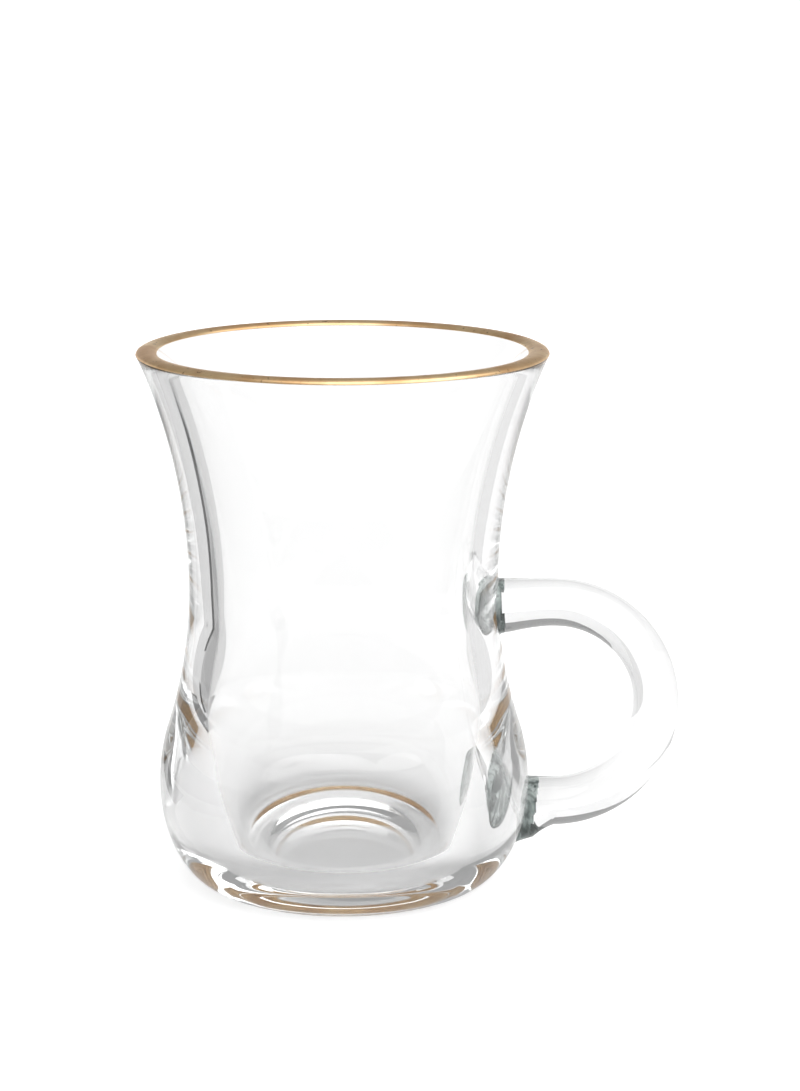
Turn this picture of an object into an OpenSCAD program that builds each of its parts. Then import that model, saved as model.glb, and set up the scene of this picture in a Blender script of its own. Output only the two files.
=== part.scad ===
// Small moulded-glass tea cup: a waisted bowl on a thick base, a strap handle
// fused to its side and a band of fired gold on the lip.
// Millimetres. The origin is the centre of the ring the cup stands on, +Z is up
// and the handle points along +X.

/* [Bowl] */
// Height from the table to the crest of the lip
height = 83; // [74:0.5:95]
// Diameter over the lip
rim_d = 62; // [58:0.5:70]
// Thickness of the lip
lip_t = 3; // [2.4:0.1:3.6]
// Radius that rounds both edges of the lip
lip_edge_r = 0.5; // [0.3:0.05:0.8]
// Radius of the crown across the top of the lip
lip_crown_r = 2.6; // [2:0.1:5]
// Outer diameter at the waist
waist_d = 47.2; // [45:0.2:52]
// Height of the waist above the table
waist_z = 46.5; // [42:0.5:54]
// Outer diameter at the belly
belly_d = 56.8; // [54:0.2:60]
// Height of the belly above the table
belly_z = 16; // [13:0.5:22]
// Share of the curve between belly and waist that bulges outward
belly_arc_share = 0.3; // [0.2:0.05:0.6]

/* [Foot] */
// Outer diameter of the ring the cup stands on
foot_d = 37; // [30:0.5:42]
// Width of the flat ring the cup stands on
foot_land_w = 5; // [2:0.25:6]
// Height of the hollow under the base
punt_h = 1.4; // [0.6:0.1:3]

/* [Cavity] */
// Thickness of the wall at the waist
waist_wall_t = 4.3; // [3.8:0.1:5.5]
// Height where the cavity is narrowest above its belly
cavity_waist_z = 42; // [38:0.5:46]
// Thickness of the wall at the cavity's belly
belly_wall_t = 6.9; // [6:0.1:8]
// Height of the cavity's belly
cavity_belly_z = 22; // [20:0.5:25]
// Radius of the rounding that narrows the cavity towards its floor
cavity_shoulder_r = 34; // [28:0.5:42]
// Height of the cavity floor above the table
floor_z = 5.2; // [4.8:0.1:8]
// Fillet round the cavity floor
floor_fillet_r = 8; // [5:0.25:9]

/* [Handle] */
// Inner radius of the finger loop
loop_r = 12.2; // [11:0.1:13]
// Distance from the cup's axis to the centre of the finger loop
loop_x = 32.2; // [31:0.2:36]
// Height of the centre of the finger loop
loop_z = 28.2; // [27:0.2:32]
// Thickness of the strap in the plane of the loop
strap_t = 7; // [5.5:0.1:8]
// Width of the strap across the loop
strap_w = 9.2; // [7:0.2:11]
// How far the upper pad sags below the strap
upper_sag = 1.4; // [0:0.1:2.5]
// Length of strap over which the upper pad spreads
upper_pad_l = 8; // [4:0.5:9]
// How far the lower pad sags below the strap
lower_sag = 3; // [0:0.1:3.6]
// Length of strap over which the lower pad spreads
lower_pad_l = 4.5; // [3:0.5:5]
// Extra width of both pads where they meet the bowl
pad_spread = 1.2; // [0:0.1:3]

/* [Gold band] */
// Thickness given to the fired gold
gold_t = 0.12; // [0.08:0.01:0.3]
// Angle above the lip's widest line where the outer edge of the gold lies
gold_edge_a = 10; // [0:1:30]

/* [Hidden] */

rim_r = rim_d/2;
waist_r = waist_d/2;
belly_r = belly_d/2;
foot_r = foot_d/2;
land_in_r = foot_r - foot_land_w;
cavity_r = waist_r - waist_wall_t;
cavity_belly_r = belly_r - belly_wall_t;

// Steps along each rounded stretch, and round the handle's section
wall_steps = 16;
curve_steps = 10;
lip_steps = 5;
ring_sides = 28;
bend_steps = 30;
arm_steps = 8;

// The lip is two small edge circles with a crown arc over both
lip_half = lip_t/2 - lip_edge_r;
crown_a = asin(lip_half/(lip_crown_r - lip_edge_r));
edge_z = height - lip_crown_r + (lip_crown_r - lip_edge_r)*cos(crown_a);
outer_edge_x = rim_r - lip_edge_r;
inner_edge_x = rim_r - lip_t + lip_edge_r;
crown_x = rim_r - lip_t/2;

// The flared wall outside is an arc that leaves the waist upright and touches the lip
flare_dx = outer_edge_x - waist_r;
flare_dz = edge_z - waist_z;
flare_r = (flare_dx*flare_dx + flare_dz*flare_dz - lip_edge_r*lip_edge_r)
          /(2*(flare_dx + lip_edge_r));
flare_a = atan2(flare_dz, waist_r + flare_r - outer_edge_x);

// The flared wall inside does the same from the cavity's waist
mouth_dx = inner_edge_x - cavity_r;
mouth_dz = edge_z - cavity_waist_z;
mouth_r = (mouth_dx*mouth_dx + mouth_dz*mouth_dz - lip_edge_r*lip_edge_r)
          /(2*(mouth_dx - lip_edge_r));
mouth_a = atan2(mouth_dz, cavity_r + mouth_r - inner_edge_x);

// Belly and waist are two arcs, upright at both ends and tangent where they meet
swell_dx = belly_r - waist_r;
swell_dz = waist_z - belly_z;
swell_r = (swell_dx*swell_dx + swell_dz*swell_dz)/(2*swell_dx);
belly_arc_r = swell_r*belly_arc_share;
waist_arc_r = swell_r - belly_arc_r;
swell_a = asin(swell_dz/swell_r);
swell_join_z = belly_z + belly_arc_r*sin(swell_a);

// Below its belly the cavity closes with a shoulder arc that runs into the fillet round its floor
shoulder_x = cavity_belly_r - cavity_shoulder_r;
shoulder_run = cavity_shoulder_r - floor_fillet_r;
shoulder_drop = cavity_belly_z - floor_z - floor_fillet_r;
shoulder_a = asin(shoulder_drop/shoulder_run);
floor_fillet_x = shoulder_x + shoulder_run*cos(shoulder_a);

// The hollow under the base is part of a ball
punt_r = (land_in_r*land_in_r + punt_h*punt_h)/(2*punt_h);
punt_a = asin(land_in_r/punt_r);

// The strap runs along this radius, and its arms leave the bowl at these heights
strap_r = loop_r + strap_t/2;
upper_arm_z = loop_z + strap_r;
lower_arm_z = loop_z - strap_r;
arm_bury = 4;

// Rounds the strap's section: 2 is an ellipse, more is squarer
strap_round_share = 2.5;
// Draws the pads' spread in towards the bowl: 1 is an even taper, more is a shorter flare
pad_taper_share = 1.6;

// Points on an arc of an ellipse with its centre at [x, z], from angle a0 to a1
function arc(x, z, rx, rz, a0, a1, steps) =
    [for (i = [0:steps]) let (a = a0 + (a1 - a0)*i/steps) [x + rx*cos(a), z + rz*sin(a)]];

// Points on an S-shaped curve from one point down to another, upright at both ends
function swell(from, to, steps) =
    [for (i = [0:steps]) let (share = i/steps, across = (1 - cos(180*share))/2)
        [from.x + (to.x - from.x)*across, from.y + (to.y - from.y)*share]];

function reversed(list) = [for (i = [len(list) - 1:-1:0]) list[i]];

// The lip from the gold's outer edge over the crown to its inner edge, grown by d
function lip(d) = concat(
    arc(outer_edge_x, edge_z, lip_edge_r + d, lip_edge_r + d,
        gold_edge_a, 90 - crown_a, lip_steps),
    arc(crown_x, height - lip_crown_r, lip_crown_r + d, lip_crown_r + d,
        90 - crown_a, 90 + crown_a, lip_steps),
    arc(inner_edge_x, edge_z, lip_edge_r + d, lip_edge_r + d,
        90 + crown_a, 180 - mouth_a, lip_steps));

// The bowl's outside from the table to the gold's outer edge
outside = concat(
    arc(foot_r, belly_z, belly_r - foot_r, belly_z, -90, 0, wall_steps),
    arc(belly_r - belly_arc_r, belly_z, belly_arc_r, belly_arc_r, 0, swell_a, curve_steps),
    arc(waist_r + waist_arc_r, waist_z, waist_arc_r, waist_arc_r,
        180 + swell_a, 180, curve_steps),
    arc(waist_r + flare_r, waist_z, flare_r, flare_r, 180, 180 - flare_a, wall_steps),
    arc(outer_edge_x, edge_z, lip_edge_r, lip_edge_r, -flare_a, gold_edge_a, lip_steps));

// The cavity from the inner end of the lip down to the middle of its floor
inside = concat(
    arc(cavity_r + mouth_r, cavity_waist_z, mouth_r, mouth_r,
        180 - mouth_a, 180, wall_steps),
    swell([cavity_r, cavity_waist_z], [cavity_belly_r, cavity_belly_z], wall_steps),
    arc(shoulder_x, cavity_belly_z, cavity_shoulder_r, cavity_shoulder_r,
        0, -shoulder_a, curve_steps),
    arc(floor_fillet_x, floor_z + floor_fillet_r, floor_fillet_r, floor_fillet_r,
        -shoulder_a, -90, curve_steps),
    [[0, floor_z]]);

// The hollow under the base, from its crown to the inner edge of the ring
punt = arc(0, punt_h - punt_r, punt_r, punt_r, 90, 90 - punt_a, curve_steps);

// Drops points that repeat the one before them, as where two arcs meet
function distinct(list) =
    [for (i = [0:len(list) - 1]) if (i == 0 || norm(list[i] - list[i - 1]) > gold_t/100) list[i]];

// The bowl's outer radius at height z
function wall_r(z) =
    z >= waist_z ? waist_r + flare_r - sqrt(flare_r*flare_r - pow(z - waist_z, 2)) :
    z >= swell_join_z ? waist_r + waist_arc_r - sqrt(waist_arc_r*waist_arc_r - pow(z - waist_z, 2)) :
    z >= belly_z ? belly_r - belly_arc_r + sqrt(belly_arc_r*belly_arc_r - pow(z - belly_z, 2)) :
    foot_r + (belly_r - foot_r)*sqrt(1 - pow(1 - max(z, 0)/belly_z, 2));

// How much of a pad's spread is left at x, for a pad of length l on a wall at root
function pad_share(x, root, l) = pow(1 - min(max(x - root, 0)/l, 1), pad_taper_share);

// Stations along the strap: [x, z, angle of the outward normal, upper share, lower share]
upper_root = wall_r(upper_arm_z);
lower_root = wall_r(lower_arm_z);
upper_stations = [for (i = [0:arm_steps]) let (
    from = upper_root - arm_bury, x = from + (loop_x - from)*i/arm_steps)
    [x, upper_arm_z, 90, pad_share(x, upper_root, upper_pad_l), 0]];
bend_stations = [for (i = [1:bend_steps - 1]) let (a = 90 - 180*i/bend_steps)
    [loop_x + strap_r*cos(a), loop_z + strap_r*sin(a), a, 0, 0]];
lower_stations = [for (i = [arm_steps:-1:0]) let (
    from = lower_root - arm_bury, x = from + (loop_x - from)*i/arm_steps)
    [x, lower_arm_z, -90, 0, pad_share(x, lower_root, lower_pad_l)]];
stations = concat(upper_stations, bend_stations, lower_stations);

function rounded(v) = sign(v)*pow(abs(v), 2/strap_round_share);

// One ring of points round the strap at a station. The upper pad sags on the inner
// side of the loop and the lower pad on its outer side.
function ring(s) = [for (k = [0:ring_sides - 1]) let (
    c = rounded(cos(360*k/ring_sides)),
    u = rounded(sin(360*k/ring_sides)),
    across = (strap_w + pad_spread*(s[3] + s[4]))/2*c,
    out = u*(strap_t/2 + (u > 0 ? lower_sag*s[4] : upper_sag*s[3])))
    [s[0] + out*cos(s[2]), across, s[1] + out*sin(s[2])]];

module solid_of(outline) rotate_extrude($fn = 96) polygon(distinct(outline));

// The bowl without its cavity and hollow: what the handle's pads are fused onto
module envelope() solid_of(concat([[0, 0]], outside, [[0, edge_z]]));

module bowl() color([0.87, 0.92, 0.93, 0.45])
    solid_of(concat(punt, outside, lip(0), inside));

module strap() {
    rings = [for (s = stations) ring(s)];
    n = ring_sides;
    last = len(rings) - 1;
    sides = [for (i = [0:last - 1], k = [0:n - 1]) let (
        a = i*n + k, b = i*n + (k + 1)%n)
        each [[a, b + n, b], [a, a + n, b + n]]];
    caps = [[for (k = [0:n - 1]) k], [for (k = [n - 1:-1:0]) last*n + k]];
    polyhedron([for (r = rings) each r], concat(sides, caps));
}

module handle() color([0.87, 0.92, 0.93, 0.45]) difference() {
    strap();
    envelope();
}

module gold_rim() color([0.74, 0.56, 0.38])
    solid_of(concat(lip(gold_t), reversed(lip(0))));

bowl();
handle();
gold_rim();
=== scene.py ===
"""Looks of a small clear glass tea cup with a strap handle and a fired gold band on its lip.

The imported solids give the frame. Each of the three is replaced here by a finer piece of the same size,
because clear glass shows every facet of its surface, inside and outside.
"""

import logging
import math
from dataclasses import dataclass
from enum import Enum

import bmesh
import bpy
from mathutils import Matrix, Vector


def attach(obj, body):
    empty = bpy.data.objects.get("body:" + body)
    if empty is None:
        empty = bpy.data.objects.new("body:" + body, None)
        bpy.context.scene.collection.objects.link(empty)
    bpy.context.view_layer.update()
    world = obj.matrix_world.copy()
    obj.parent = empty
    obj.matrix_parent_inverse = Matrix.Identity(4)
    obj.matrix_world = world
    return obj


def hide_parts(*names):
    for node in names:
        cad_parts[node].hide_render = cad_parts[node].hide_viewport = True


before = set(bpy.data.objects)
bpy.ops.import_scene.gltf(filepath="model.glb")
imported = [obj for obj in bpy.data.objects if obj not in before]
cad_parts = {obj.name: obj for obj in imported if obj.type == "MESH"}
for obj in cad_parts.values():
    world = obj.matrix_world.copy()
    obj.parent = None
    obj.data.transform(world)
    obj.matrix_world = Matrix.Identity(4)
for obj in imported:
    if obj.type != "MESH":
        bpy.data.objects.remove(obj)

log = logging.getLogger("cup")
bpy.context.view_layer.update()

MM = 0.001
# Steps in a full turn of the bowl, about 1 mm apart at the lip
TURN_STEPS = 192
# Vertices of one piece that lie closer together than this (mm) become one
MERGE = 0.0005
WHITE = "FFFFFF"


def linear(code: str) -> tuple[float, float, float, float]:
    """Turns an sRGB hex colour into the linear colour that a shader takes.

    Args:
        code: Six hex digits.

    Returns:
        Red, green, blue and an alpha of 1.
    """
    shares = [int(code[i:i + 2], 16) / 255 for i in (0, 2, 4)]
    return (*[s / 12.92 if s <= 0.04045 else ((s + 0.055) / 1.055) ** 2.4 for s in shares], 1.0)


def add_node(tree: bpy.types.NodeTree, kind: str, inputs: dict[str | int, object] | None = None,
             **settings: object) -> bpy.types.Node:
    """Adds a shader node, sets it up and links it.

    Args:
        tree: The node tree that gets the node.
        kind: Blender's name for the kind of node.
        inputs: What each input gets: a value, or the output socket it is linked to.
        **settings: The node's own properties.

    Returns:
        The new node.
    """
    node = tree.nodes.new(kind)
    for name, value in settings.items():
        setattr(node, name, value)
    for name, value in (inputs or {}).items():
        if isinstance(value, bpy.types.NodeSocket):
            tree.links.new(value, node.inputs[name])
        else:
            node.inputs[name].default_value = value
    return node


def new_material(name: str) -> tuple[bpy.types.Material, bpy.types.NodeTree]:
    """Makes an empty node material.

    Args:
        name: The finish's plain name.

    Returns:
        The material and its node tree.
    """
    material = bpy.data.materials.new(name)
    material.use_nodes = True
    material.node_tree.nodes.clear()
    return material, material.node_tree


def add_object(name: str, bm: bmesh.types.BMesh, *materials: bpy.types.Material) -> bpy.types.Object:
    """Turns a finished bmesh into an object at the origin.

    Args:
        name: The object's plain name.
        bm: The mesh, in metres and in its place. It is freed here.
        *materials: The finishes, in the order of the faces' material numbers.

    Returns:
        The new object.
    """
    mesh = bpy.data.meshes.new(name)
    bm.to_mesh(mesh)
    bm.free()
    for material in materials:
        mesh.materials.append(material)
    thing = bpy.data.objects.new(name, mesh)
    bpy.context.scene.collection.objects.link(thing)
    return thing


def new_verts(geometry: list[bmesh.types.BMVert | bmesh.types.BMEdge | bmesh.types.BMFace]
              ) -> list[bmesh.types.BMVert]:
    """Picks the vertices out of what a bmesh operator made."""
    return [part for part in geometry if isinstance(part, bmesh.types.BMVert)]


class Pen:
    """Draws a half section in the XZ plane by sweeping one vertex along lines and arcs."""

    def __init__(self, bm: bmesh.types.BMesh, x: float, z: float) -> None:
        """Puts the pen down at x, z (mm)."""
        self.bm = bm
        self.tip = bmesh.ops.create_vert(bm, co=(x * MM, 0, z * MM))["vert"][0]
        self.start = self.tip

    @property
    def x(self) -> float:
        """The pen's place across, in mm."""
        return self.tip.co.x / MM

    @property
    def z(self) -> float:
        """The pen's height, in mm."""
        return self.tip.co.z / MM

    def line(self, x: float, z: float, steps: int = 1) -> None:
        """Draws a straight stretch.

        Args:
            x: Where it ends, across (mm).
            z: Where it ends, in height (mm).
            steps: How many edges it is divided into.
        """
        step = (Vector((x * MM, 0, z * MM)) - self.tip.co) / steps
        for _ in range(steps):
            grown = bmesh.ops.extrude_vert_indiv(self.bm, verts=[self.tip])["verts"]
            bmesh.ops.translate(self.bm, verts=grown, vec=step)
            self.tip = grown[0]

    def swell(self, x: float, z: float, steps: int) -> None:
        """Draws an S-shaped stretch that is upright at both ends.

        Args:
            x: Where it ends, across (mm).
            z: Where it ends, in height (mm).
            steps: How many edges it is divided into.
        """
        from_x, from_z = self.x, self.z
        for i in range(1, steps + 1):
            across = (1 - math.cos(math.pi * i / steps)) / 2
            self.line(from_x + (x - from_x) * across, from_z + (z - from_z) * i / steps)

    def arc(self, centre_x: float, centre_z: float, turn: float, steps: int, squash: float = 1.0) -> None:
        """Draws an arc round a centre.

        Args:
            centre_x: The centre's place across (mm).
            centre_z: The centre's height (mm).
            turn: Degrees swept, counter-clockwise with X to the right and Z up.
            steps: How many edges the arc has.
            squash: The height of the arc as a share of its width, for a part of an ellipse.
        """
        centre = Vector((centre_x * MM, 0, centre_z * MM))
        if squash != 1.0:
            round_again = Matrix.Diagonal((1, 1, squash, 1)).inverted()
            self.tip.co = centre + round_again @ (self.tip.co - centre)
        before = set(self.bm.verts)
        swept = bmesh.ops.spin(self.bm, geom=[self.tip], cent=centre, axis=(0, -1, 0),
                               angle=math.radians(turn), steps=steps)
        grown = [v for v in self.bm.verts if v not in before] + [self.tip]
        self.tip = new_verts(swept["geom_last"])[0]
        if squash != 1.0:
            bmesh.ops.scale(self.bm, verts=grown, vec=(1, 1, squash), space=Matrix.Translation(-centre))


@dataclass(frozen=True)
class ClearGlass:
    """Soda-lime glass, blown in a mould and fire polished."""

    # The eye gets a mirror-smooth skin, faint waves in what shines through it, and a breath of grey in
    # the thick base
    name: str = "soda_lime_glass_mould_blown"
    ior: float = 1.52
    # The volume takes little light: a path of 20 mm keeps 97 % or more of it
    depth_tint: str = "E2E4E3"
    depth_density: float = 5.0
    # The mould leaves the surface very slightly wavy, about a centimetre from wave to wave
    wave_mm: float = 11.0
    wave_strength: float = 0.012
    wave_depth_mm: float = 1.0

    def make(self) -> bpy.types.Material:
        """Builds the material.

        Returns:
            The glass.
        """
        material, tree = new_material(self.name)
        place = add_node(tree, "ShaderNodeTexCoord").outputs["Object"]
        waves = add_node(tree, "ShaderNodeTexNoise",
                         {"Vector": place, "Scale": 1 / (self.wave_mm * MM), "Detail": 1.0, "Roughness": 0.4})
        bump = add_node(tree, "ShaderNodeBump",
                        {"Height": waves.outputs["Fac"], "Strength": self.wave_strength,
                         "Distance": self.wave_depth_mm * MM})
        glass = add_node(tree, "ShaderNodeBsdfPrincipled",
                         {"Base Color": linear(WHITE), "Roughness": 0.0, "IOR": self.ior,
                          "Transmission Weight": 1.0, "Normal": bump.outputs["Normal"]})
        depth = add_node(tree, "ShaderNodeVolumeAbsorption",
                         {"Color": linear(self.depth_tint), "Density": self.depth_density})
        add_node(tree, "ShaderNodeOutputMaterial",
                 {"Surface": glass.outputs["BSDF"], "Volume": depth.outputs["Volume"]})
        return material


@dataclass(frozen=True)
class FusedSeam:
    """The skin between handle and bowl, where the glass chilled before it closed up."""

    # The eye gets a silvery film with streaks of dark grey-green, half of it see-through
    name: str = "soda_lime_glass_chilled_seam"
    ior: float = 1.52
    pale: str = "AEBBB7"
    dark: str = "2E3836"
    # Streaks run up and down, so the pattern is stretched three times along Z
    streak_mm: float = 1.3
    upright: float = 0.33
    dark_below: float = 0.36
    pale_above: float = 0.62
    streak_strength: float = 0.35
    streak_depth_mm: float = 0.3
    roughness: float = 0.12
    clearness: float = 0.55

    def make(self) -> bpy.types.Material:
        """Builds the material.

        Returns:
            The seam's finish.
        """
        material, tree = new_material(self.name)
        place = add_node(tree, "ShaderNodeTexCoord").outputs["Object"]
        along = add_node(tree, "ShaderNodeMapping", {"Vector": place, "Scale": (1.0, 1.0, self.upright)})
        streaks = add_node(tree, "ShaderNodeTexNoise",
                           {"Vector": along.outputs["Vector"], "Scale": 1 / (self.streak_mm * MM),
                            "Detail": 3.0, "Distortion": 0.6})
        tones = add_node(tree, "ShaderNodeValToRGB", {"Fac": streaks.outputs["Fac"]})
        low, high = tones.color_ramp.elements
        low.position, low.color = self.dark_below, linear(self.dark)
        high.position, high.color = self.pale_above, linear(self.pale)
        bump = add_node(tree, "ShaderNodeBump",
                        {"Height": streaks.outputs["Fac"], "Strength": self.streak_strength,
                         "Distance": self.streak_depth_mm * MM})
        skin = add_node(tree, "ShaderNodeBsdfPrincipled",
                        {"Base Color": tones.outputs["Color"], "Roughness": self.roughness,
                         "IOR": self.ior, "Transmission Weight": self.clearness,
                         "Normal": bump.outputs["Normal"]})
        add_node(tree, "ShaderNodeOutputMaterial", {"Surface": skin.outputs["BSDF"]})
        return material


@dataclass(frozen=True)
class FiredGold:
    """Liquid gold, painted on with a brush and fired."""

    # The eye gets a rose-brown satin metal, patchy in tone and gloss, with specks worn through by use
    name: str = "fired_liquid_gold"
    bright: str = "F5D5A5"
    dull: str = "DAB080"
    bare: str = "7A5540"
    patch_mm: float = 9.0
    dull_below: float = 0.38
    bright_above: float = 0.6
    speck_mm: float = 0.7
    worn_from: float = 0.66
    worn_through: float = 0.74
    dull_roughness: float = 0.42
    bright_roughness: float = 0.3

    def make(self) -> bpy.types.Material:
        """Builds the material.

        Returns:
            The gold.
        """
        material, tree = new_material(self.name)
        place = add_node(tree, "ShaderNodeTexCoord").outputs["Object"]
        patches = add_node(tree, "ShaderNodeTexNoise",
                           {"Vector": place, "Scale": 1 / (self.patch_mm * MM), "Detail": 4.0,
                            "Roughness": 0.6})
        tones = add_node(tree, "ShaderNodeValToRGB", {"Fac": patches.outputs["Fac"]})
        low, high = tones.color_ramp.elements
        low.position, low.color = self.dull_below, linear(self.dull)
        high.position, high.color = self.bright_above, linear(self.bright)
        specks = add_node(tree, "ShaderNodeTexNoise",
                          {"Vector": place, "Scale": 1 / (self.speck_mm * MM), "Detail": 2.0})
        worn = add_node(tree, "ShaderNodeMapRange",
                        {"Value": specks.outputs["Fac"], "From Min": self.worn_from,
                         "From Max": self.worn_through})
        colour = add_node(tree, "ShaderNodeMix",
                          {"Factor": worn.outputs["Result"], "A": tones.outputs["Color"],
                           "B": linear(self.bare)}, data_type="RGBA")
        satin = add_node(tree, "ShaderNodeMapRange",
                         {"Value": patches.outputs["Fac"], "From Min": 0.3, "From Max": 0.7,
                          "To Min": self.dull_roughness, "To Max": self.bright_roughness})
        film = add_node(tree, "ShaderNodeBsdfPrincipled",
                        {"Base Color": colour.outputs["Result"], "Metallic": 1.0,
                         "Roughness": satin.outputs["Result"]})
        add_node(tree, "ShaderNodeOutputMaterial", {"Surface": film.outputs["BSDF"]})
        return material


@dataclass(frozen=True)
class SectionSteps:
    """How many edges each stretch of the bowl's half section has, so that the glass shows no facet."""

    hollow: int = 20
    foot_ring: int = 4
    heel: int = 40
    belly: int = 14
    waist: int = 24
    flare: int = 36
    lip_edge: int = 6
    lip_crown: int = 10
    cavity_mouth: int = 36
    cavity_waist: int = 32
    cavity_belly: int = 24
    cavity_fillet: int = 24
    cavity_floor: int = 6


@dataclass
class Bowl:
    """The blown bowl: lip, flare, waist, belly, foot ring and cavity. Sizes in mm, angles in degrees."""

    height: float = 83.0
    rim_d: float = 62.0
    lip_t: float = 3.0
    lip_edge_r: float = 0.5
    lip_crown_r: float = 2.6
    waist_d: float = 47.2
    waist_z: float = 46.5
    waist_wall_t: float = 4.3
    belly_wall_t: float = 6.9
    belly_d: float = 56.8
    belly_z: float = 16.0
    belly_arc_share: float = 0.3
    foot_d: float = 37.0
    foot_land_w: float = 5.0
    punt_h: float = 1.4
    cavity_waist_z: float = 42.0
    cavity_belly_z: float = 22.0
    cavity_shoulder_r: float = 34.0
    floor_z: float = 5.2
    floor_fillet_r: float = 8.0
    # The gold starts this far up the outer edge rounding
    gold_edge_a: float = 10.0
    steps: SectionSteps = SectionSteps()

    def __post_init__(self) -> None:
        """Works out the radii and the arcs of the lip, the flare and the belly from the sizes."""
        self.rim_r, self.waist_r, self.belly_r, self.foot_r = (
            d / 2 for d in (self.rim_d, self.waist_d, self.belly_d, self.foot_d))
        self.cavity_r = self.waist_r - self.waist_wall_t
        self.cavity_belly_r = self.belly_r - self.belly_wall_t
        # The lip: a crown arc over two small edge roundings
        lip_half = self.lip_t / 2 - self.lip_edge_r
        reach = self.lip_crown_r - self.lip_edge_r
        self.crown_a = math.degrees(math.asin(lip_half / reach))
        self.crown_z = self.height - self.lip_crown_r
        self.crown_x = self.rim_r - self.lip_t / 2
        self.edge_z = self.crown_z + reach * math.cos(math.radians(self.crown_a))
        self.outer_edge_x = self.rim_r - self.lip_edge_r
        self.inner_edge_x = self.rim_r - self.lip_t + self.lip_edge_r
        # The flare and the cavity's mouth: arcs that leave the waist upright and meet those roundings
        dx, dz, e = self.outer_edge_x - self.waist_r, self.edge_z - self.waist_z, self.lip_edge_r
        self.flare_r = (dx * dx + dz * dz - e * e) / (2 * (dx + e))
        self.flare_a = math.degrees(math.atan2(dz, self.waist_r + self.flare_r - self.outer_edge_x))
        dx, dz = self.inner_edge_x - self.cavity_r, self.edge_z - self.cavity_waist_z
        self.mouth_r = (dx * dx + dz * dz - e * e) / (2 * (dx - e))
        self.mouth_a = math.degrees(math.atan2(dz, self.cavity_r + self.mouth_r - self.inner_edge_x))
        # From waist to belly: two arcs that meet at a tangent
        dx, dz = self.belly_r - self.waist_r, self.waist_z - self.belly_z
        swell_r = (dx * dx + dz * dz) / (2 * dx)
        self.belly_arc_r = swell_r * self.belly_arc_share
        self.waist_arc_r = swell_r - self.belly_arc_r
        self.swell_a = math.degrees(math.asin(dz / swell_r))
        self.join_z = self.belly_z + self.belly_arc_r * math.sin(math.radians(self.swell_a))

    def wall_r(self, z: float) -> float:
        """Gives the bowl's outer radius at one height.

        Args:
            z: The height (mm).

        Returns:
            The radius (mm).
        """
        if z >= self.waist_z:
            return self.waist_r + self.flare_r - math.sqrt(self.flare_r ** 2 - (z - self.waist_z) ** 2)
        if z >= self.join_z:
            rise = z - self.waist_z
            return self.waist_r + self.waist_arc_r - math.sqrt(self.waist_arc_r ** 2 - rise ** 2)
        if z >= self.belly_z:
            rise = z - self.belly_z
            return self.belly_r - self.belly_arc_r + math.sqrt(self.belly_arc_r ** 2 - rise ** 2)
        heel_w = self.belly_r - self.foot_r
        return self.foot_r + heel_w * math.sqrt(1 - (1 - max(z, 0) / self.belly_z) ** 2)

    def draw_foot(self, pen: Pen) -> None:
        """Draws from the middle of the hollow under the base to the foot ring's outer edge.

        Args:
            pen: A pen that stands in the middle of the hollow.
        """
        land_in_r = self.foot_r - self.foot_land_w
        punt_r = (land_in_r ** 2 + self.punt_h ** 2) / (2 * self.punt_h)
        punt_a = math.degrees(math.asin(land_in_r / punt_r))
        pen.arc(0, self.punt_h - punt_r, -punt_a, self.steps.hollow)
        pen.line(self.foot_r, 0, self.steps.foot_ring)

    def draw_outside(self, pen: Pen) -> None:
        """Draws from the foot ring up to the gold's outer edge.

        Args:
            pen: A pen that stands at the outer edge of the flat ring.
        """
        heel_w = self.belly_r - self.foot_r
        pen.arc(self.foot_r, self.belly_z, 90, self.steps.heel, squash=self.belly_z / heel_w)
        pen.arc(self.belly_r - self.belly_arc_r, self.belly_z, self.swell_a, self.steps.belly)
        pen.arc(self.waist_r + self.waist_arc_r, self.waist_z, -self.swell_a, self.steps.waist)
        pen.arc(self.waist_r + self.flare_r, self.waist_z, -self.flare_a, self.steps.flare)
        pen.arc(self.outer_edge_x, self.edge_z, self.flare_a + self.gold_edge_a, self.steps.lip_edge)

    def draw_lip(self, pen: Pen) -> None:
        """Draws the part of the lip that the gold covers, from its outer to its inner edge.

        Args:
            pen: A pen that stands at the gold's outer edge.
        """
        edge_a = 90 - self.crown_a
        pen.arc(self.outer_edge_x, self.edge_z, edge_a - self.gold_edge_a, self.steps.lip_edge)
        pen.arc(self.crown_x, self.crown_z, 2 * self.crown_a, self.steps.lip_crown)
        pen.arc(self.inner_edge_x, self.edge_z, edge_a - self.mouth_a, self.steps.lip_edge)

    def draw_inside(self, pen: Pen) -> None:
        """Draws the cavity from the gold's inner edge down to the middle of its floor.

        Args:
            pen: A pen that stands at the gold's inner edge.
        """
        run = self.cavity_shoulder_r - self.floor_fillet_r
        drop = self.cavity_belly_z - self.floor_z - self.floor_fillet_r
        shoulder_x = self.cavity_belly_r - self.cavity_shoulder_r
        shoulder_a = math.degrees(math.asin(drop / run))
        fillet_x = shoulder_x + run * math.cos(math.radians(shoulder_a))
        fillet_z = self.floor_z + self.floor_fillet_r
        pen.arc(self.cavity_r + self.mouth_r, self.cavity_waist_z, self.mouth_a, self.steps.cavity_mouth)
        pen.swell(self.cavity_belly_r, self.cavity_belly_z, self.steps.cavity_waist)
        pen.arc(shoulder_x, self.cavity_belly_z, -shoulder_a, self.steps.cavity_belly)
        pen.arc(fillet_x, fillet_z, shoulder_a - 90, self.steps.cavity_fillet)
        pen.line(0, self.floor_z, self.steps.cavity_floor)

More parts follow.
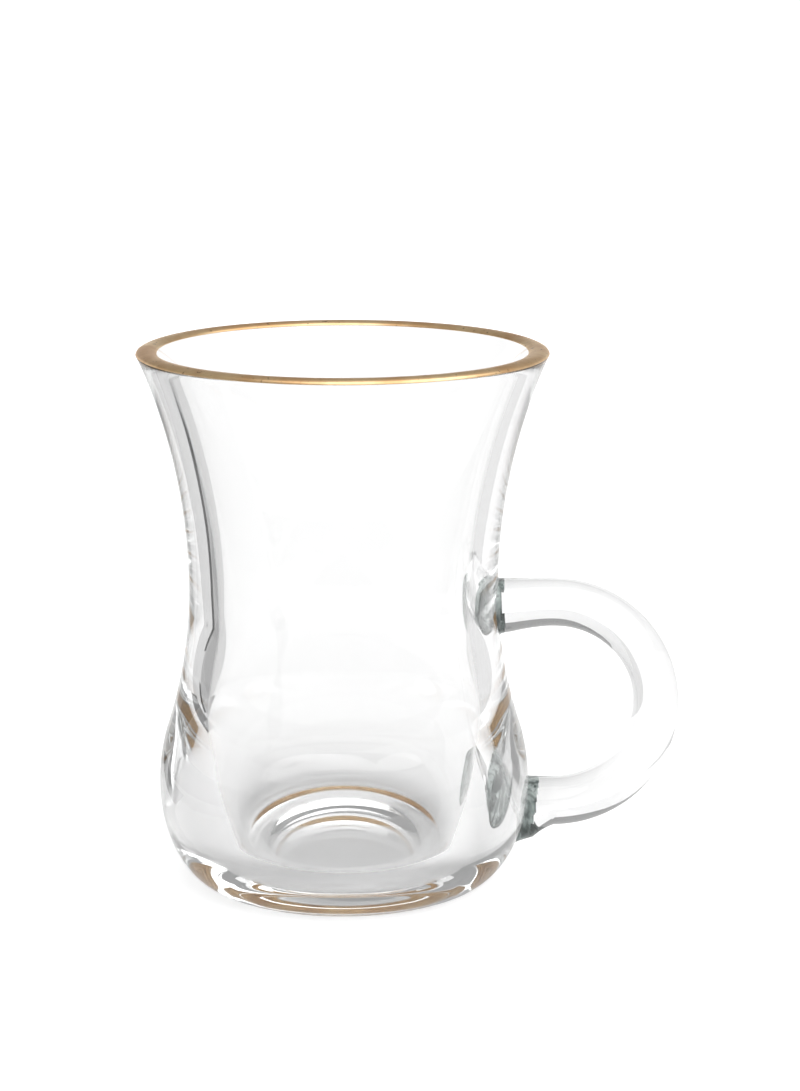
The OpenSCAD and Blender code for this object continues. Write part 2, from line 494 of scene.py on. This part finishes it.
    def build(self) -> bmesh.types.BMesh:
        """Sweeps the half section once round the axis.

        Returns:
            The closed glass body, with material 1 on the faces under the gold.
        """
        bm = bmesh.new()
        pen = Pen(bm, 0, self.punt_h)
        self.draw_foot(pen)
        self.draw_outside(pen)
        gold_from = pen.tip.co.z
        self.draw_lip(pen)
        gold_to = pen.tip.co.z
        self.draw_inside(pen)
        spin_closed(bm)
        for face in bm.faces:
            middle = face.calc_center_median()
            outer = math.hypot(middle.x, middle.y) > self.crown_x * MM
            face.material_index = int(middle.z > (gold_from if outer else gold_to))
        return bm

    def dress(self, bm: bmesh.types.BMesh, glass: bpy.types.Material,
              gold: bpy.types.Material) -> bpy.types.Object:
        """Makes the bowl an object that stands for the CAD bowl.

        Args:
            bm: The closed glass body.
            glass: The clear glass.
            gold: What the gold looks like from below, through the glass.

        Returns:
            The bowl.
        """
        piece = add_object("clear_glass_bowl", bm, glass, gold)
        piece.data.shade_smooth()
        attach(piece, "root")
        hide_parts("bowl")
        return piece


def spin_closed(bm: bmesh.types.BMesh) -> None:
    """Turns a half section into a closed body of revolution with outward faces.

    Args:
        bm: A mesh that holds only the half section, in the XZ plane.
    """
    bmesh.ops.remove_doubles(bm, verts=bm.verts, dist=MERGE * MM)
    bmesh.ops.spin(bm, geom=bm.verts[:] + bm.edges[:], cent=(0, 0, 0), axis=(0, 0, 1),
                   angle=2 * math.pi, steps=TURN_STEPS, use_merge=True)
    bmesh.ops.remove_doubles(bm, verts=bm.verts, dist=MERGE * MM)
    bmesh.ops.recalc_face_normals(bm, faces=bm.faces)


@dataclass
class GoldRim:
    """The band of fired gold that wraps the lip's crown. Sizes in mm."""

    bowl: Bowl
    gold_t: float = 0.12
    # The film's underside is kept this far off the glass, so that the two surfaces never coincide
    lift: float = 0.01

    def draw(self, bm: bmesh.types.BMesh, grow: float) -> Pen:
        """Draws the covered part of the lip, grown outwards.

        Args:
            bm: The mesh drawn in.
            grow: How far outside the glass the line runs (mm).

        Returns:
            The pen, at the inner edge of the gold.
        """
        b = self.bowl
        reach = b.lip_edge_r + grow
        angle = math.radians(b.gold_edge_a)
        pen = Pen(bm, b.outer_edge_x + reach * math.cos(angle), b.edge_z + reach * math.sin(angle))
        b.draw_lip(pen)
        return pen

    def build(self) -> bmesh.types.BMesh:
        """Draws the film's two sides, closes them at the edges and turns them round the axis.

        Returns:
            The closed band.
        """
        bm = bmesh.new()
        top = self.draw(bm, self.gold_t)
        under = self.draw(bm, self.lift)
        bmesh.ops.contextual_create(bm, geom=[top.start, under.start])
        bmesh.ops.contextual_create(bm, geom=[top.tip, under.tip])
        spin_closed(bm)
        return bm

    def dress(self, bm: bmesh.types.BMesh, gold: bpy.types.Material) -> bpy.types.Object:
        """Makes the band an object that stands for the CAD gold rim.

        Args:
            bm: The closed band.
            gold: The fired gold.

        Returns:
            The band.
        """
        piece = add_object("fired_gold_band", bm, gold)
        piece.data.shade_smooth()
        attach(piece, "root")
        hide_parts("gold_rim")
        return piece


class Arm(Enum):
    """The handle's two straight arms. The value is the side of the finger loop that the arm is on."""

    UPPER = 1
    LOWER = -1


@dataclass(frozen=True)
class Pad:
    """How an arm spreads where it was pressed onto the hot bowl. Sizes in mm."""

    # How far the underside sags at the root
    sag: float
    # How much of the arm spreads
    length: float
    # How far the chilled skin reaches out from the wall
    seam_w: float


@dataclass
class Handle:
    """The strap handle: two straight arms and a half-round bend, with a pad at each end. Sizes in mm."""

    bowl: Bowl
    loop_r: float = 12.2
    loop_x: float = 32.2
    loop_z: float = 28.2
    strap_t: float = 7.0
    strap_w: float = 9.2
    # The strap's section is an ellipse at 2 and boxier above
    strap_round: float = 2.5
    upper_pad: Pad = Pad(sag=1.4, length=8.0, seam_w=0.9)
    lower_pad: Pad = Pad(sag=3.0, length=4.5, seam_w=1.6)
    # How much wider a pad is than the strap, and how late its spread comes on
    pad_spread: float = 1.2
    pad_power: float = 1.6
    # Kept free between handle and bowl, so that the two surfaces never coincide
    pad_gap: float = 0.02
    ring_sides: int = 56
    bend_steps: int = 72
    arm_steps: int = 26
    # How many of an arm's last rings bend to the bowl's wall, and how many rings close its pad
    fit_rings: int = 6
    cap_rings: int = 7

    def ring_point(self, turn: float, x: float, z: float, share: float = 0.0, sag: float = 0.0) -> Vector:
        """Gives one point of an upright ring round the strap.

        Args:
            turn: The point's place round the ring (radians).
            x: The ring's place along the arm (mm).
            z: The arm's height (mm).
            share: How much of the pad's spread the ring has.
            sag: How far the pad sags at its root (mm).

        Returns:
            The point, in metres.
        """
        power = 2 / self.strap_round
        across, up = (math.copysign(abs(v) ** power, v) for v in (math.cos(turn), math.sin(turn)))
        half = self.strap_t / 2 + (sag * share if up < 0 else 0)
        return Vector((x, (self.strap_w + self.pad_spread * share) / 2 * across, z + up * half)) * MM

    def wall_x(self, point: Vector) -> float:
        """Finds the bowl's wall at a point's y and z.

        Args:
            point: The point, in metres.

        Returns:
            The x (m) at which the wall, plus the gap kept free, passes that y and z.
        """
        radius = (self.bowl.wall_r(point.z / MM) + self.pad_gap) * MM
        return math.sqrt(max(radius ** 2 - point.y ** 2, 0))

    def grow_arm(self, bm: bmesh.types.BMesh, ring: list[bmesh.types.BMVert], arm: Arm) -> None:
        """Grows one arm from an end of the bend to the bowl, and closes it with a pad that fits the wall.

        Args:
            bm: The handle's mesh.
            ring: The bend's end ring, in the order of its angle.
            arm: Which arm it is.
        """
        pad = self.upper_pad if arm is Arm.UPPER else self.lower_pad
        z = self.loop_z + arm.value * (self.loop_r + self.strap_t / 2)
        root = self.bowl.wall_r(z)
        turns = [2 * math.pi * k / self.ring_sides for k in range(self.ring_sides)]
        for i in range(1, self.arm_steps + 1):
            x = self.loop_x + (root - self.loop_x) * i / self.arm_steps
            share = (1 - min(max(x - root, 0) / pad.length, 1)) ** self.pad_power
            # Close to the bowl the rings bend to its wall, so the last one lies on it
            fit = max(0.0, 1 - (self.arm_steps - i) / self.fit_rings)
            ring = grow_ring(bm, ring)
            for vert, turn in zip(ring, turns):
                vert.co = self.ring_point(turn, x, z, share, pad.sag)
                vert.co.x += (self.wall_x(vert.co) - x * MM) * fit
        self.close_pad(bm, ring)
        for face in bm.faces:
            middle = face.calc_center_median()
            on_arm = (middle.z / MM - self.loop_z) * arm.value > 0
            if on_arm and middle.x < self.wall_x(middle) + pad.seam_w * MM:
                face.material_index = 1

    def close_pad(self, bm: bmesh.types.BMesh, ring: list[bmesh.types.BMVert]) -> None:
        """Closes an arm's root with a face that lies along the bowl's wall.

        Args:
            bm: The handle's mesh.
            ring: The arm's last ring.
        """
        middle = sum((v.co for v in ring), Vector()) / len(ring)
        for i in range(self.cap_rings, 0, -1):
            ring = grow_ring(bm, ring)
            bmesh.ops.scale(bm, verts=ring, vec=(1, i / (i + 1), i / (i + 1)),
                            space=Matrix.Translation(-middle))
            for vert in ring:
                vert.co.x = self.wall_x(vert.co)
        bmesh.ops.pointmerge(bm, verts=ring, merge_co=(self.wall_x(middle), middle.y, middle.z))

    def build(self) -> bmesh.types.BMesh:
        """Sweeps the strap's ring round the bend, then grows both arms.

        Returns:
            The closed handle, with material 1 on the faces of the seams.
        """
        bm = bmesh.new()
        ring = bmesh.ops.create_circle(bm, segments=self.ring_sides, radius=MM)["verts"]
        z = self.loop_z + self.loop_r + self.strap_t / 2
        for k, vert in enumerate(ring):
            vert.co = self.ring_point(2 * math.pi * k / self.ring_sides, self.loop_x, z)
        edges = list({e for v in ring for e in v.link_edges})
        swept = bmesh.ops.spin(bm, geom=ring + edges, cent=(self.loop_x * MM, 0, self.loop_z * MM),
                               axis=(0, 1, 0), angle=math.pi, steps=self.bend_steps)
        low_z = (2 * self.loop_z - z) * MM
        # The spin gives its last ring in no order, so it is sorted by angle, from a hair before zero
        low_ring = sorted(new_verts(swept["geom_last"]),
                          key=lambda v: (math.atan2(v.co.z - low_z, v.co.y) + 0.001) % (2 * math.pi))
        self.grow_arm(bm, ring, Arm.UPPER)
        self.grow_arm(bm, low_ring, Arm.LOWER)
        bmesh.ops.remove_doubles(bm, verts=bm.verts, dist=MERGE * MM)
        bmesh.ops.recalc_face_normals(bm, faces=bm.faces)
        return bm

    def dress(self, bm: bmesh.types.BMesh, glass: bpy.types.Material,
              seam: bpy.types.Material) -> bpy.types.Object:
        """Makes the handle an object that stands for the CAD handle.

        Args:
            bm: The closed handle.
            glass: The clear glass.
            seam: The finish of the two pads' faces.

        Returns:
            The handle.
        """
        piece = add_object("clear_glass_handle", bm, glass, seam)
        piece.data.shade_smooth()
        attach(piece, "root")
        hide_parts("handle")
        return piece


def grow_ring(bm: bmesh.types.BMesh, ring: list[bmesh.types.BMVert]) -> list[bmesh.types.BMVert]:
    """Extrudes a closed ring of vertices by its edges.

    Args:
        bm: The mesh.
        ring: The ring's vertices in order.

    Returns:
        The new ring, in the same order.
    """
    wanted = set(ring)
    edges = [e for e in bm.edges if e.verts[0] in wanted and e.verts[1] in wanted]
    if len(edges) != len(ring):
        raise ValueError(f"a ring of {len(ring)} vertices has {len(edges)} edges")
    places = [v.co.copy() for v in ring]
    nearest = {}
    for vert in new_verts(bmesh.ops.extrude_edge_only(bm, edges=edges)["geom"]):
        nearest[min(range(len(places)), key=lambda k: (places[k] - vert.co).length_squared)] = vert
    return [nearest[k] for k in range(len(ring))]


@dataclass(frozen=True)
class Card:
    """A glowing sheet beside the cup. It paints a grey or dark reflection into the glass and the gold, which
    gives the glass an edge to show. Corners in mm.
    """

    name: str
    # How bright it glows, as a share of white
    level: float
    corners: tuple[tuple[float, float, float], ...]


@dataclass
class Studio:
    """White sweep, soft light, glowing grey cards that paint reflections into the glass, and the photograph's
    camera. Sizes in mm, angles in degrees.
    """

    # A round pale floor, just under the foot ring, with a low wall round its edge. Past the wall the
    # glass shows the dimmer room
    sweep_r: float = 1600.0
    sweep_h: float = 430.0
    sweep_drop: float = 0.05
    sweep_tone: str = "E4E4E4"
    # The white added to the lit sweep, where the eye meets it and where it shows in gold and glass
    glow_seen: float = 0.58
    glow_mirrored: float = 0.23
    room_level: float = 0.33
    # One very soft light from the front right, high up
    key_level: float = 2.8
    key_spread: float = 90.0
    key_from: tuple[float, float, float] = (0.4, -0.4, 1.0)
    # Fitted to the lip's ellipse, the silhouette and the foot in the photograph
    camera_at: tuple[float, float, float] = (8.612, -506.33, 158.83)
    camera_down: float = 11.84
    lens: float = 112.19
    sensor_w: float = 36.0
    clip_from: float = 10.0
    # Glowing sheets, not lit cards: each paints its pale, grey or dark reflection into the glass and the gold
    cards: tuple[Card, ...] = (
        # Pale glow, left of the cup: paints the light grey band in the left wall as a painted reflection
        Card("left_pale_glow", 0.7, (
            (-62, -110, 1), (-86, 130, 1), (-128, 400, 1), (-230, 1200, 1), (-1500, 1200, 1),
            (-1500, -110, 1))),
        # Darker glow, further out: paints the inner part of that band
        Card("left_far_grey_glow", 0.42, (
            (-101, 44, 1.5), (-145, 128, 1.5), (-300, 450, 1.5), (-700, 1200, 1.5),
            (-1500, 1200, 1.5), (-1500, -110, 1.5), (-101, -110, 1.5))),
        # Dark glow, close: paints the dark patches in the left wall at the belly as painted shade seen
        # through the glass
        Card("left_near", 0.2, ((-58, 14, 2.5), (-67, 84, 2.5), (-92, 84, 2.5), (-84, 14, 2.5))),
        # A nearly black glowing strip: paints the thin dark line inside the left wall
        Card("left_strip", 0.03, ((-94, 46, 2), (-136, 132, 2), (-144, 128, 2), (-100, 44, 2))),
        # Pale glow, right of the cup: paints the faint edges of the right wall and the handle
        Card("right_pale_glow", 0.8, (
            (80, -110, 1), (104, 130, 1), (146, 400, 1), (250, 1200, 1), (1500, 1200, 1),
            (1500, -110, 1))),
        Card("right_panel", 0.75, ((900, 100, 0), (900, 1500, 0), (900, 1500, 500), (900, 100, 500))),
        # Dark glow, in front of the cup: paints the outlines that look back at the camera
        Card("front_dark_glow", 0.3, ((-1500, -112, 1), (1500, -112, 1), (1500, -1500, 1), (-1500, -1500, 1))),
    )

    def build(self) -> None:
        """Sets up the sweep, the light, the cards and the camera."""
        self.lay_sweep()
        self.light()
        for card in self.cards:
            self.lay_card(card)
        self.place_camera()

    def lay_sweep(self) -> None:
        """Lays the pale round floor and stands the low wall round its edge."""
        bm = bmesh.new()
        bmesh.ops.create_circle(bm, cap_ends=True, segments=96, radius=self.sweep_r * MM)
        wall = bmesh.ops.extrude_edge_only(bm, edges=bm.edges[:])["geom"]
        bmesh.ops.translate(bm, verts=new_verts(wall), vec=(0, 0, self.sweep_h * MM))
        bmesh.ops.translate(bm, verts=bm.verts, vec=(0, 0, -self.sweep_drop * MM))
        material, tree = new_material("matt_white_sweep")
        # The glow lights nothing: it shows to the eye, and in the gold and the glass
        path = add_node(tree, "ShaderNodeLightPath")
        mirrored = add_node(tree, "ShaderNodeMath",
                            {0: path.outputs["Is Glossy Ray"], 1: path.outputs["Is Transmission Ray"]},
                            operation="MAXIMUM")
        dim = add_node(tree, "ShaderNodeMath", {0: mirrored.outputs["Value"], 1: self.glow_mirrored},
                       operation="MULTIPLY")
        glow = add_node(tree, "ShaderNodeMath",
                        {0: path.outputs["Is Camera Ray"], 1: self.glow_seen, 2: dim.outputs["Value"]},
                        operation="MULTIPLY_ADD")
        sheet = add_node(tree, "ShaderNodeBsdfPrincipled",
                         {"Base Color": linear(self.sweep_tone), "Roughness": 1.0,
                          "Specular IOR Level": 0.0, "Emission Color": linear(WHITE),
                          "Emission Strength": glow.outputs["Value"]})
        add_node(tree, "ShaderNodeOutputMaterial", {"Surface": sheet.outputs["BSDF"]})
        add_object("floor", bm, material)

    def lay_card(self, card: Card) -> None:
        """Puts one card in its place.

        Args:
            card: The card.
        """
        bm = bmesh.new()
        corners = [bmesh.ops.create_vert(bm, co=Vector(c) * MM)["vert"][0] for c in card.corners]
        bmesh.ops.contextual_create(bm, geom=corners)
        material, tree = new_material("glowing_card_" + card.name)
        # The card only glows at its level of white and is lit by nothing: a painted reflection or painted
        # shade for the glass and the gold
        card_glow = add_node(tree, "ShaderNodeEmission", {"Color": linear(WHITE), "Strength": card.level})
        add_node(tree, "ShaderNodeOutputMaterial", {"Surface": card_glow.outputs["Emission"]})
        sheet = add_object(card.name, bm, material)
        # The eye and the floor never meet a card, only the glass and the gold do, which show its glow as a
        # painted reflection
        sheet.visible_camera = sheet.visible_diffuse = sheet.visible_shadow = False

    def light(self) -> None:
        """Sets the room, white to the eye and dim to all else, and the soft light from high up."""
        world = bpy.data.worlds.new("white_room")
        world.use_nodes = True
        tree = world.node_tree
        tree.nodes.clear()
        path = add_node(tree, "ShaderNodeLightPath")
        level = add_node(tree, "ShaderNodeMath",
                         {0: path.outputs["Is Camera Ray"], 1: 1 - self.room_level, 2: self.room_level},
                         operation="MULTIPLY_ADD")
        sky = add_node(tree, "ShaderNodeBackground",
                       {"Color": linear(WHITE), "Strength": level.outputs["Value"]})
        add_node(tree, "ShaderNodeOutputWorld", {"Surface": sky.outputs["Background"]})
        bpy.context.scene.world = world
        key = bpy.data.lights.new("soft_key", "SUN")
        key.energy, key.angle = self.key_level, math.radians(self.key_spread)
        lamp = bpy.data.objects.new("soft_key", key)
        lamp.rotation_euler = (-Vector(self.key_from)).to_track_quat("-Z", "Y").to_euler()
        bpy.context.scene.collection.objects.link(lamp)

    def place_camera(self) -> None:
        """Puts the camera where the photograph was taken from."""
        data = bpy.data.cameras.new("camera")
        data.sensor_width, data.lens, data.clip_start = self.sensor_w, self.lens, self.clip_from * MM
        camera = bpy.data.objects.new("camera", data)
        camera.location = Vector(self.camera_at) * MM
        camera.rotation_euler = (math.radians(90 - self.camera_down), 0, 0)
        bpy.context.scene.collection.objects.link(camera)
        bpy.context.scene.camera = camera


def set_glass_bounces(through_glass: int = 60, through_clear: int = 20) -> None:
    """Lets light through the cup's four walls and back, where few bounces leave black patches.

    Args:
        through_glass: How often a path of light may bend or bounce.
        through_clear: How many fully clear surfaces it may pass.
    """
    cycles = bpy.context.scene.cycles
    cycles.max_bounces = cycles.transmission_bounces = cycles.glossy_bounces = through_glass
    cycles.transparent_max_bounces = through_clear


def main() -> None:
    """Builds the studio and the cup's three pieces in order, and reports each piece."""
    logging.basicConfig(level=logging.INFO, format="%(name)s: %(message)s")
    bpy.context.scene.view_settings.view_transform = "Standard"
    set_glass_bounces()
    Studio().build()

    glass, seam, gold = ClearGlass().make(), FusedSeam().make(), FiredGold().make()
    bowl = Bowl()
    handle, rim = Handle(bowl), GoldRim(bowl)
    pieces = (bowl.dress(bowl.build(), glass, gold), handle.dress(handle.build(), glass, seam),
              rim.dress(rim.build(), gold))
    for piece in pieces:
        log.info("%s: %d faces, %d finishes", piece.name, len(piece.data.polygons),
                 len(piece.data.materials))


if __name__ == "__main__":
    main()
